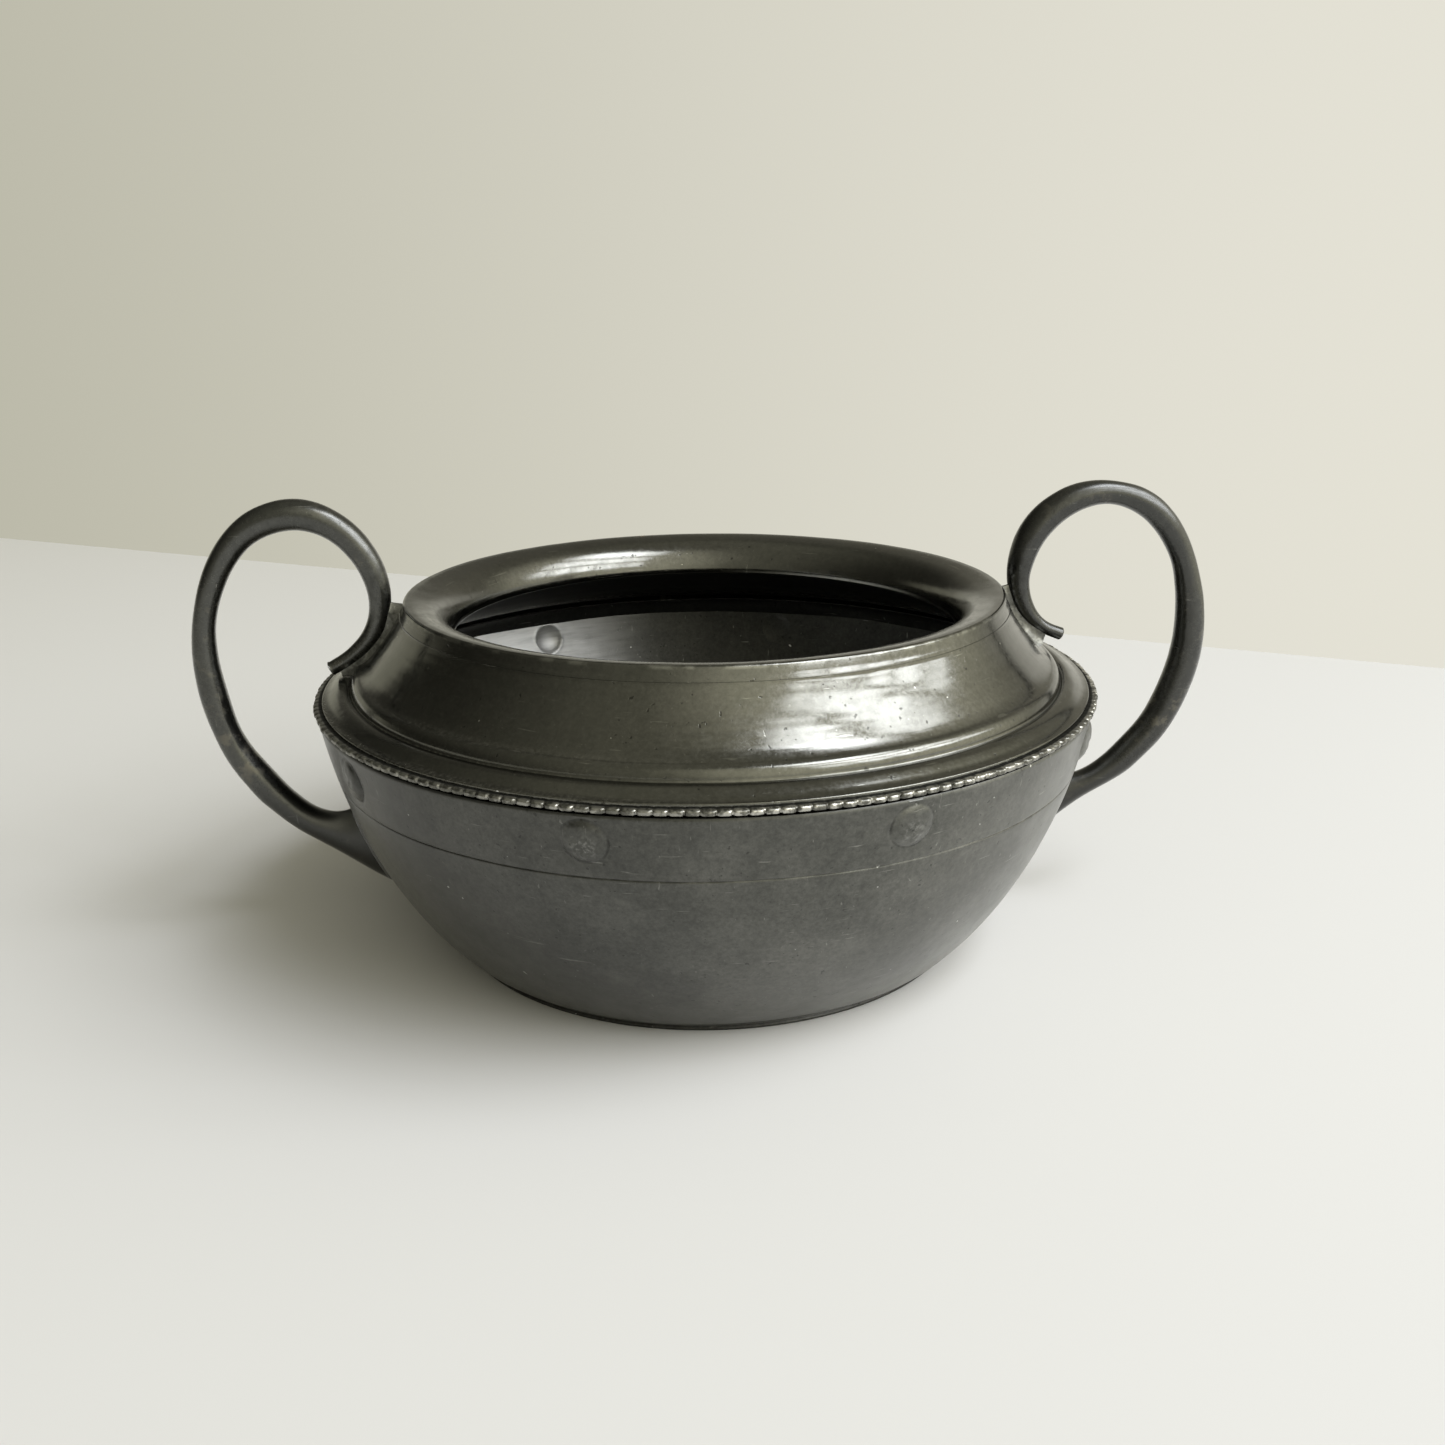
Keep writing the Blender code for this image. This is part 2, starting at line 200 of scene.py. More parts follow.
AIM_HEIGHT = 0.03
TABLE_COLOUR = (0.640, 0.635, 0.617)
TABLE_HALF = 1.5
TABLE_BACK_LEFT, TABLE_BACK_RIGHT = 1.037, -0.585


def make_camera():
    """The handles are turned a little from square to the view, so the camera goes round by that angle."""
    elevation = math.radians(CAMERA_ELEVATION)
    forward = Vector((0.0, math.cos(elevation), -math.sin(elevation)))
    side = Vector((1.0, 0.0, 0.0))
    roll = Matrix.Rotation(-math.radians(CAMERA_ROLL), 3, forward)
    turn = Matrix.Rotation(-math.radians(HANDLE_TURN), 3, "Z")
    across = turn @ roll @ side
    upward = turn @ roll @ side.cross(forward)
    place = turn @ (Vector(CAMERA_AIM) - forward * CAMERA_DISTANCE)
    facing = Matrix((across, upward, -(turn @ forward))).transposed().to_4x4()
    data = bpy.data.cameras.new("camera")
    data.lens = 36.0
    data.sensor_width = 36.0
    data.clip_start = 0.005
    camera = bpy.data.objects.new("camera", data)
    bpy.context.scene.collection.objects.link(camera)
    camera.matrix_world = Matrix.Translation(place) @ facing
    bpy.context.scene.camera = camera


def towards(azimuth, elevation, distance):
    """A point that far from the bowl; azimuth goes from +X towards +Y, in degrees."""
    turn, rise = math.radians(azimuth), math.radians(elevation)
    across = distance * math.cos(rise)
    return Vector((across * math.cos(turn), across * math.sin(turn), AIM_HEIGHT + distance * math.sin(rise)))


def pane(name, azimuth, elevation, wide, tall, radiance, colour):
    """A soft rectangular light facing the bowl; wide and tall are the angles it fills, in degrees."""
    data = bpy.data.lights.new(name, "AREA")
    data.shape = "RECTANGLE"
    data.size = 2.0 * LIGHT_DISTANCE * math.tan(math.radians(wide / 2))
    data.size_y = 2.0 * LIGHT_DISTANCE * math.tan(math.radians(tall / 2))
    data.energy = radiance * math.pi * data.size * data.size_y
    data.color = colour
    light = bpy.data.objects.new(name, data)
    bpy.context.scene.collection.objects.link(light)
    light.location = towards(azimuth, elevation, LIGHT_DISTANCE)
    aim = Vector((0.0, 0.0, AIM_HEIGHT)) - light.location
    light.rotation_euler = aim.to_track_quat("-Z", "Y").to_euler()
    light.visible_camera = False


def make_lights():
    """A tall window on the right with a grid of panes, brightest in its middle."""
    for column in range(WINDOW_COLUMNS):
        turn = WINDOW_TURN[0] + (WINDOW_TURN[1] - WINDOW_TURN[0]) * (column + 0.5) / WINDOW_COLUMNS
        for row, rise in enumerate(WINDOW_RISES):
            strength = WINDOW_RADIANCE * (1.0 if 0 < column < WINDOW_COLUMNS - 1 else 0.6)
            pane(f"pane_{column}_{row}", turn, rise, *PANE_ANGLES, strength, WINDOW_COLOUR)


def make_world():
    """A plain room: dim on the left, bright towards the window, with a pale wall behind the table."""
    world = bpy.data.worlds.new("room")
    world.use_nodes = True
    bpy.context.scene.world = world
    tree = world.node_tree
    direction = tree.nodes.new("ShaderNodeTexCoord").outputs["Generated"]
    split = tree.nodes.new("ShaderNodeSeparateXYZ")
    tree.links.new(direction, split.inputs[0])
    facing = tree.nodes.new("ShaderNodeVectorMath")
    facing.operation = "DOT_PRODUCT"
    tree.links.new(direction, facing.inputs[0])
    facing.inputs[1].default_value = towards(ROOM_TURN, 20.0, 1.0) - towards(0.0, 0.0, 0.0)

    def spread(value, start, end):
        node = tree.nodes.new("ShaderNodeMapRange")
        node.interpolation_type = "SMOOTHSTEP"
        tree.links.new(value, node.inputs["Value"])
        node.inputs["From Min"].default_value = start
        node.inputs["From Max"].default_value = end
        return node.outputs["Result"]

    def blend(factor, first, second):
        node = tree.nodes.new("ShaderNodeMix")
        node.data_type = "RGBA"
        tree.links.new(factor, node.inputs[0])
        for value, socket in ((first, node.inputs[6]), (second, node.inputs[7])):
            if isinstance(value, tuple):
                socket.default_value = (*value, 1.0)
            else:
                tree.links.new(value, socket)
        return node.outputs[2]

    across, back, up = split.outputs
    bright = facing.outputs["Value"]
    room = blend(spread(bright, -0.85, 0.5), ROOM_DIM, ROOM_MIDDLE)
    room = blend(spread(bright, 0.3, 0.95), room, ROOM_BRIGHT)
    room = blend(spread(up, 0.84, 0.98), room, CEILING)
    behind = blend(spread(across, -0.6, 0.8), BEHIND_LEFT, BEHIND_RIGHT)
    room = blend(spread(back, 0.35, 0.85), room, behind)
    wall = blend(spread(across, -0.75, 0.65), WALL_LEFT, WALL_RIGHT)
    lower = blend(spread(up, 0.26, 0.17), room, wall)
    colour = blend(spread(back, 0.3, 0.7), room, lower)
    tree.links.new(colour, tree.nodes["Background"].inputs["Color"])


def plain_material(name, colour, roughness):
    material = bpy.data.materials.new(name)
    material.use_nodes = True
    shader = material.node_tree.nodes["Principled BSDF"]
    shader.inputs["Base Color"].default_value = (*colour, 1.0)
    shader.inputs["Roughness"].default_value = roughness
    return material


def make_stage():
    """A pale table whose far edge runs just behind the bowl."""
    corners = [
        (-TABLE_HALF, -TABLE_HALF, 0.0),
        (TABLE_HALF, -TABLE_HALF, 0.0),
        (TABLE_HALF, TABLE_BACK_RIGHT, 0.0),
        (-TABLE_HALF, TABLE_BACK_LEFT, 0.0),
    ]
    table = add_mesh("table", corners, [(0, 1, 2, 3)])
    table.data.materials.append(plain_material("pale_table", TABLE_COLOUR, 0.9))


# ---- mesh helpers --------------------------------------------------------------------------------


def add_mesh(name, points, faces):
    mesh = bpy.data.meshes.new(name)
    mesh.from_pydata([tuple(point) for point in points], [], faces)
    piece = bpy.data.objects.new(name, mesh)
    bpy.context.scene.collection.objects.link(piece)
    return piece


def finish_piece(piece, material, slot, *nodes):
    """Turns the faces outwards, shades the piece and puts it in its CAD nodes' place."""
    shape = bmesh.new()
    shape.from_mesh(piece.data)
    bmesh.ops.recalc_face_normals(shape, faces=shape.faces)
    shape.to_mesh(piece.data)
    shape.free()
    piece.data.shade_smooth()
    piece.data.set_sharp_from_angle(angle=math.radians(50.0))
    piece.data.materials.append(material)
    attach(piece, BODY)
    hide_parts(*nodes)
    return piece


def smooth_line(points, spacing):
    """A Catmull-Rom curve through the points, in any number of dimensions, with about that spacing."""
    knots = np.array(points, float)
    before = 2 * knots[0] - knots[1]
    after = 2 * knots[-1] - knots[-2]
    padded = np.vstack([before, knots, after])
    made = []
    for index in range(len(knots) - 1):
        p0, p1, p2, p3 = padded[index : index + 4]
        span = np.linalg.norm((p2 - p1)[:2])
        steps = max(1, math.ceil(span / spacing))
        for step in range(steps):
            t = step / steps
            made.append(
                0.5
                * (
                    2 * p1
                    + (p2 - p0) * t
                    + (2 * p0 - 5 * p1 + 4 * p2 - p3) * t**2
                    + (3 * p1 - p0 - 3 * p2 + p3) * t**3
                )
            )
    made.append(knots[-1])
    return np.array(made)


def arc(centre, radius, start, end, steps):
    """Points on an arc from start to end in degrees; radius is (across, up)."""
    made = []
    for step in range(steps + 1):
        angle = math.radians(start + (end - start) * step / steps)
        made.append((centre[0] + radius[0] * math.cos(angle), centre[1] + radius[1] * math.sin(angle)))
    return made


def divided(points, spacing):
    """Straight stretches cut into steps of about that spacing."""
    made = [points[0]]
    for start, end in zip(points[:-1], points[1:]):
        start, end = np.array(start), np.array(end)
        steps = max(1, math.ceil(np.linalg.norm(end - start) / spacing))
        for step in range(1, steps + 1):
            made.append(tuple(start + (end - start) * step / steps))
    return made


def even_angles(count):
    return [math.tau * index / count for index in range(count)]


def turned_grid(profile, angles):
    """Points and outward directions of a profile turned about Z; both are (profile, angle, 3) arrays."""
    line = np.array(profile, float)
    along = np.gradient(line, axis=0)
    along /= np.maximum(np.linalg.norm(along, axis=1, keepdims=True), 1e-9)
    out_r, out_z = -along[:, 1], along[:, 0]
    cosine, sine, level = np.cos(angles), np.sin(angles), np.ones(len(angles))

    def turned(across, upward):
        return np.stack([np.outer(across, cosine), np.outer(across, sine), np.outer(upward, level)], axis=-1)

    return turned(line[:, 0], line[:, 1]), turned(out_r, out_z)


def grid_mesh(name, points):
    """A mesh of a (profile, angle, 3) grid in millimetres, whose last row joins its first."""
    rows, columns = points.shape[:2]
    faces = []
    for row in range(rows):
        here, above = row * columns, (row + 1) % rows * columns
        for column in range(columns):
            right = (column + 1) % columns
            faces.append((here + column, here + right, above + right, above + column))
    return add_mesh(name, points.reshape(-1, 3) * MM, faces)


def uneven(points, size, reach, seed):
    """A smooth, uneven push of up to about reach mm over the points; size is its wavelength in mm."""
    flat = points.reshape(-1, 3) / size
    shift = Vector((seed * 7.1, seed * 3.3, seed * 1.7))
    values = np.array([noise.noise(Vector(point) + shift) for point in flat])
    return reach * values.reshape(points.shape[:-1])


# ---- materials -----------------------------------------------------------------------------------


class Nodes:
    """Builds a material's node tree with short calls. A value is a number, a colour or a socket."""

    def __init__(self, name):
        self.material = bpy.data.materials.new(name)
        self.material.use_nodes = True
        self.tree = self.material.node_tree
        self.shader = self.tree.nodes["Principled BSDF"]
        self.place = self.add("ShaderNodeTexCoord").outputs["Object"]
        self.mm = self.vector("MULTIPLY", self.place, (1000.0, 1000.0, 1000.0))
        split = self.add("ShaderNodeSeparateXYZ")
        self.link(self.mm, split.inputs[0])
        self.x, self.y, self.z = split.outputs
        squares = self.maths("ADD", self.times(self.x, self.x), self.times(self.y, self.y))
        self.r = self.maths("SQRT", squares)

    def add(self, kind):
        return self.tree.nodes.new(kind)

    def link(self, value, socket):
        if isinstance(value, bpy.types.NodeSocket):
            self.tree.links.new(value, socket)
        else:
            socket.default_value = value

    def maths(self, operation, first, second=0.0, clamp=False):
        node = self.add("ShaderNodeMath")
        node.operation = operation
        node.use_clamp = clamp
        self.link(first, node.inputs[0])
        self.link(second, node.inputs[1])
        return node.outputs[0]

    def vector(self, operation, first, second):
        node = self.add("ShaderNodeVectorMath")
        node.operation = operation
        self.link(first, node.inputs[0])
        self.link(second, node.inputs[1])
        return node.outputs["Value"] if operation == "DISTANCE" else node.outputs[0]

    def noise(self, size, detail=2.0, roughness=0.5, stretch=(1.0, 1.0, 1.0), shift=0.0, distort=0.0):
        """Noise with features of about that size in mm, each direction stretched by a factor."""
        node = self.add("ShaderNodeTexNoise")
        scale = tuple(1.0 / (size * factor) for factor in stretch)
        moved = self.vector("MULTIPLY", self.mm, scale)
        moved = self.vector("ADD", moved, (shift, shift * 0.7, shift * 0.3))
        self.link(moved, node.inputs["Vector"])
        node.inputs["Scale"].default_value = 1.0
        node.inputs["Detail"].default_value = detail
        node.inputs["Roughness"].default_value = roughness
        node.inputs["Distortion"].default_value = distort
        return node.outputs["Fac"]

    def range(self, value, start, end, out_start=0.0, out_end=1.0, smooth=True):
        node = self.add("ShaderNodeMapRange")
        node.interpolation_type = "SMOOTHSTEP" if smooth else "LINEAR"
        self.link(value, node.inputs["Value"])
        self.link(start, node.inputs["From Min"])
        self.link(end, node.inputs["From Max"])
        self.link(out_start, node.inputs["To Min"])
        self.link(out_end, node.inputs["To Max"])
        return node.outputs["Result"]

    def spot(self, centre, inner, outer):
        """1 within inner mm of a point, falling to 0 at outer."""
        return self.range(self.vector("DISTANCE", self.mm, centre), inner, outer, 1.0, 0.0)

    def ring(self, radius, height, inner, outer):
        """1 within inner mm of a circle about Z, falling to 0 at outer."""
        across = self.maths("SUBTRACT", self.r, radius)
        upward = self.maths("SUBTRACT", self.z, height)
        squares = self.maths("ADD", self.times(across, across), self.times(upward, upward))
        return self.range(self.maths("SQRT", squares), inner, outer, 1.0, 0.0)

    def mix(self, factor, first, second):
        node = self.add("ShaderNodeMix")
        node.data_type = "RGBA"
        self.link(factor, node.inputs[0])
        self.link(first, node.inputs[6])
        self.link(second, node.inputs[7])
        return node.outputs[2]

    def shaded(self, colour, factor):
        node = self.add("ShaderNodeVectorMath")
        node.operation = "SCALE"
        self.link(colour, node.inputs[0])
        self.link(factor, node.inputs["Scale"])
        return node.outputs[0]

    def times(self, *values):
        result = values[0]
        for value in values[1:]:
            result = self.maths("MULTIPLY", result, value)
        return result

    def most(self, *values):
        result = values[0]
        for value in values[1:]:
            result = self.maths("MAXIMUM", result, value)
        return result

    def bump(self, height, strength, distance_mm):
        node = self.add("ShaderNodeBump")
        node.inputs["Strength"].default_value = strength
        node.inputs["Distance"].default_value = distance_mm * MM
        self.link(height, node.inputs["Height"])
        self.tree.links.new(node.outputs[0], self.shader.inputs["Normal"])

    def set(self, **values):
        for name, value in values.items():
            self.link(value, self.shader.inputs[name.replace("_", " ")])


def rgb(red, green, blue):
    return (red, green, blue, 1.0)


DUST = rgb(0.40, 0.38, 0.30)
# A dark colour for grime in pits and dirty patches, and also for painted shade in the collar's groove, round
# the bosses, and under and beside the bead wire.
GRIME_AND_SHADE = rgb(0.020, 0.020, 0.017)
NICK = rgb(0.80, 0.80, 0.76)
FILM_ROUGHNESS = 0.28


def pewter(
    name,
    light,
    dark,
    rough,
    shift,
    grain=0.5,
    cloud=0.4,
    turned=0.35,
    dents=1.2,
    painted_side_light=(1.0, 1.0),
    film=0.0,
    marks=None,
):
    """Aged pewter: mottled tones, fine grain, turning marks, sparse scratches and pits.

    light and dark are the tones that it is mottled between, and shift moves its noise, so that no two
    pieces match. grain, turned and dents are how strong the grain, the turning marks and the dents are,
    and cloud is the share of large clouds in the mottling. The pair of side factors scales the colour
    from the -X side to the +X side: painted light and shade across the piece, not patina. film is how
    strong the thin clear film of oxide and polish over it is.
    marks is a function that takes the Nodes and lists (mask, colour, roughness, metallic) rows, laid
    over the metal in turn.
    """
    n = Nodes(name)
    cloudy = n.range(n.noise(14.0, 3.0, 0.6, shift=shift), 0.35, 0.66)
    spotty = n.range(n.noise(1.3, 5.0, 0.75, shift=shift + 3.1), 0.30, 0.70)
    tone = n.maths("ADD", n.times(cloudy, cloud), n.times(spotty, 1.0 - cloud))
    fine = n.noise(0.55, 3.0, 0.75, shift=shift + 5.0)
    rings = n.noise(0.5, 3.0, 0.6, (26.0, 26.0, 0.9), shift + 8.0)
    along = n.range(n.noise(0.42, 2.0, 0.5, (14.0, 30.0, 0.8), shift + 1.0, 0.4), 0.70, 0.76)
    down = n.range(n.noise(0.40, 2.0, 0.5, (1.2, 1.2, 24.0), shift + 2.0, 0.6), 0.71, 0.77)
    scratches = n.most(along, down)
    pits = n.range(n.noise(0.9, 2.0, 0.5, shift=shift + 9.0), 0.69, 0.74)
    specks = n.range(n.noise(1.1, 1.0, 0.5, shift=shift + 12.0), 0.80, 0.83)

    colour = n.mix(tone, dark, light)
    colour = n.mix(n.times(scratches, 0.4), colour, rgb(0.36, 0.36, 0.33))
    colour = n.mix(n.times(pits, 0.6), colour, GRIME_AND_SHADE)
    colour = n.mix(n.times(specks, 0.8), colour, NICK)
    colour = n.shaded(colour, n.range(fine, 0.3, 0.7, 1.0 - 0.45 * grain, 1.0 + 0.45 * grain, False))
    # Painted light and shade: the side pair scales the colour from the -X side to the +X side.
    colour = n.shaded(colour, n.range(n.x, -50.0, 45.0, *painted_side_light))
    roughness = n.maths("ADD", rough - 0.06, n.times(n.range(fine, 0.3, 0.7), 0.08))
    smudged = n.range(n.noise(3.2, 3.0, 0.6, shift=shift + 6.0), 0.4, 0.62)
    roughness = n.maths("ADD", roughness, n.times(smudged, 0.05))
    metallic = 1.0
    for mask, mark, mark_rough, mark_metallic in marks(n) if marks else ():
        colour = n.mix(mask, colour, mark)
        roughness = n.range(mask, 0.0, 1.0, roughness, mark_rough, False)
        metallic = n.range(mask, 0.0, 1.0, metallic, mark_metallic, False)
    n.set(Base_Color=colour, Roughness=roughness, Metallic=metallic)
    n.set(Coat_Weight=film, Coat_Roughness=FILM_ROUGHNESS)

    relief = n.maths("ADD", n.times(fine, 0.5 * grain), n.times(rings, turned))
    relief = n.maths("SUBTRACT", relief, n.times(scratches, 0.25))
    relief = n.maths("SUBTRACT", relief, n.times(pits, 0.8))
    relief = n.maths("ADD", relief, n.times(n.noise(6.0, 2.0, 0.5, shift=shift + 4.0), dents))
    n.bump(relief, 0.55, 0.03)
    return n.material


def patchy(n, size, start, end, shift):
    """Uneven patches of about that size in mm: a mask between the two noise levels."""
    return n.range(n.noise(size, 3.0, 0.6, shift=shift), start, end)


def leftward(n):
    """1 on the -X side, where dust has gathered, and 0.25 on the other."""
    return n.range(n.x, 10.0, -45.0, 0.25, 1.0)


def boss_centre(degrees):
    """A boss's middle on the wall, in mm."""
    turn = math.radians(degrees)
    height = boss_height(turn)
    return Vector((bowl_radius(height) * math.cos(turn), bowl_radius(height) * math.sin(turn), height))


def body_marks(n):
    """Worn bosses with dark outlines of painted shade, the scribed line, a painted shadow under the beads
    and two nicks.
    """
    worn, outline = 0.0, 0.0
    for degrees in BOSS_ANGLES:
        centre = boss_centre(degrees)
        worn = n.most(worn, n.spot(centre + Vector((0.0, 0.0, -0.5)), 0.5, 2.4))
        # Painted shade: a thin dark ring along each boss's struck line.
        rim = n.maths("ABSOLUTE", n.maths("SUBTRACT", n.vector("DISTANCE", n.mm, centre), BOSS_R * 1.03))
        outline = n.most(outline, n.range(rim, 0.05, 0.24, 1.0, 0.0))
    crinkled = n.times(worn, patchy(n, 0.6, 0.45, 0.68, 71.0), 0.5)
    outline = n.times(outline, patchy(n, 2.5, 0.42, 0.62, 72.0), 0.6)
    scribed = n.maths("ABSOLUTE", n.maths("SUBTRACT", n.z, SCRIBED_Z))
    scribed = n.times(n.range(scribed, 0.05, 0.16, 1.0, 0.0), patchy(n, 6.0, 0.38, 0.60, 73.0), 0.6)
    # Painted shadow: the wall just under the bead wire is darkened.
    painted_bead_shadow = n.times(n.range(n.z, BEAD_LOW - 0.7, BEAD_LOW - 0.1), 0.65)
    nicks = n.most(n.spot((-26.4, -42.4, 13.7), 0.10, 0.32), n.spot((-16.4, -47.3, 12.8), 0.10, 0.34))
    return (
        (crinkled, rgb(0.36, 0.36, 0.34), 0.28, 1.0),
        (outline, GRIME_AND_SHADE, 0.6, 1.0),
        (scribed, GRIME_AND_SHADE, 0.6, 1.0),
        (painted_bead_shadow, GRIME_AND_SHADE, 0.6, 1.0),
        (nicks, NICK, 0.4, 1.0),
    )


def inside_marks(n):
    """Painted light: a pale, dull patch on the -X side of the hollow, where the window's light falls on the
    inner wall.
    """
    streaks = n.range(n.noise(5.0, 4.0, 0.65, (3.0, 3.0, 0.3), 75.0), 0.20, 0.66, 0.55, 1.0)
    # Painted light: the inner wall on the -X side is painted pale where the window's light falls.
    painted_lit_patch = n.times(n.range(n.x, -4.0, -42.0), streaks)
    return ((painted_lit_patch, rgb(0.82, 0.82, 0.79), 0.58, 0.70),)


def collar_marks(n):
    """Dust in the creases, painted shade in the groove between the rolls, a pale smear under the left spur,
    and painted shade over the hidden inside.
    """
    crevices = n.most(
        n.times(n.ring(51.1, 42.8, 0.1, 0.9), 0.6),
        n.ring(52.72, 40.65, 0.08, 0.5),
        n.ring(FLANGE_R - 0.3, BEAD_TOP, 0.2, 1.2),
    )
    dust = n.times(crevices, patchy(n, 0.5, 0.36, 0.76, 81.0), leftward(n), 0.22)
    # Painted shade: the collar's inner faces, in shade under the lip, are painted nearly black.
    within = n.range(n.maths("ADD", n.r, n.times(n.z, 0.68)), 79.0, 78.3)
    # Painted shade: a dark line in the groove between the two rolls.
    groove = n.times(n.ring(52.72, 40.60, 0.05, 0.24), 0.8)
    smear = n.times(n.spot((-53.6, -2.4, 41.5), 0.4, 2.2), patchy(n, 1.2, 0.45, 0.6, 82.0), 0.5)
    return (
        (groove, GRIME_AND_SHADE, 0.6, 1.0),
        (dust, DUST, 0.75, 0.35),
        (smear, rgb(0.5, 0.47, 0.41), 0.6, 0.6),
        (within, rgb(0.035, 0.035, 0.032), 0.55, 1.0),
    )


def rim_marks(n):
    """A worn, brighter outer edge and a small brown stain at the back."""
    edge = n.times(n.ring(RIM_R - 0.65, RIM_TOP - 0.2, 0.1, 0.5), patchy(n, 3.0, 0.48, 0.62, 84.0), 0.5)
    stain = n.times(n.spot((-8.6, 43.2, 52.2), 0.4, 1.5), patchy(n, 0.8, 0.40, 0.55, 85.0), 0.9)
    return ((edge, rgb(0.36, 0.36, 0.33), 0.30, 1.0), (stain, rgb(0.30, 0.19, 0.11), 0.6, 0.5))


def bead_marks(n):
    """Bright wear on the beads' faces, with painted light that fades it towards -X, and painted shade in the
    joint between the beads and the flange.
    """
    stretches = n.range(n.noise(30.0, 2.0, 0.5, shift=87.0), 0.35, 0.6, 0.45, 1.0)
    worn = n.times(patchy(n, 1.5, 0.46, 0.58, 86.0), stretches)
    # Painted light: the wear fades towards -X, away from the window, so the +X beads read brighter.
    worn = n.times(worn, n.range(n.x, -40.0, 20.0, 0.30, 1.0), 0.95)
    # Painted shade: the bead's inner part, in the joint against the flange, is darkened.
    painted_joint_shade = n.range(n.r, FLANGE_R + 0.38, FLANGE_R + 0.66, 1.0, 0.0)
    return ((worn, rgb(0.66, 0.65, 0.60), 0.28, 1.0), (painted_joint_shade, GRIME_AND_SHADE, 0.7, 1.0))


def handle_marks(n):
    """Faint stains, a darker lower part, and darkening where spur and neck meet."""
    stains = n.times(patchy(n, 2.6, 0.52, 0.70, 88.0), patchy(n, 17.0, 0.45, 0.60, 89.0), 0.4)
    crotch = n.times(n.range(n.r, 50.5, 47.0), patchy(n, 1.2, 0.45, 0.6, 91.0), 0.6)
    shaded = n.times(n.range(n.z, 29.0, 16.0), 0.75)
    return (
        (stains, rgb(0.22, 0.20, 0.15), 0.50, 0.8),
        (shaded, rgb(0.03, 0.03, 0.028), 0.40, 1.0),
        (crotch, GRIME_AND_SHADE, 0.6, 1.0),
    )


def solder_marks(n):
    """Patches rubbed bright and patches of grime."""
    bright = n.times(patchy(n, 1.6, 0.50, 0.70, 92.0), 0.6)
    dirty = n.times(patchy(n, 1.6, 0.52, 0.66, 93.0), 0.5)
    return ((bright, rgb(0.34, 0.34, 0.31), 0.36, 1.0), (dirty, GRIME_AND_SHADE, 0.6, 1.0))


# ---- turned pieces -------------------------------------------------------------------------------


def bowl_radius(z):
    """The belly's outer radius at height z."""
    return SWELL_R + SWELL_WIDE * math.sqrt(1.0 - ((z - SWELL_Z) / SWELL_TALL) ** 2)


def boss_height(turn):
    """The bosses' ring falls a little towards +Y; turn is in radians."""
    return BOSS_Z - BOSS_FALL * (1.0 + math.sin(turn)) / 2


def bowl_angles():
    """Steps round the bowl, finer where the bosses are."""
    reach = 4.0 / BEAD_R
    centres = [math.radians(degrees) for degrees in BOSS_ANGLES]
    fine = [(centre + reach * step / 14.0) % math.tau for centre in centres for step in range(-14, 15)]

    def far(angle):
        return all(abs((angle - centre + math.pi) % math.tau - math.pi) > reach * 1.06 for centre in centres)

    return sorted([angle for angle in even_angles(220) if far(angle)] + fine)


def boss_field(points, radius):
    """How far each point lies from the nearest boss's centre, along the wall, over that radius."""
    angles = np.arctan2(points[..., 1], points[..., 0])
    distance = np.full(points.shape[:-1], 99.0)
    for degrees in BOSS_ANGLES:
        height = boss_height(math.radians(degrees))
        lean = math.atan2(bowl_radius(height + 1.0) - bowl_radius(height - 1.0), 2.0)
        turn = (angles - math.radians(degrees) + math.pi) % math.tau - math.pi
        reach = np.hypot(turn * bowl_radius(height), (points[..., 2] - height) / math.cos(lean))
        distance = np.minimum(distance, reach)
    return distance / radius


def dome(distance):
    """A low dome with a fine struck line round it; distance is 1 at its edge."""
    inside = np.clip(1.0 - distance**2.4, 0.0, 1.0) ** 0.85
    line = np.exp(-(((distance - 1.05) / 0.07) ** 2))
    return inside - 0.18 * line


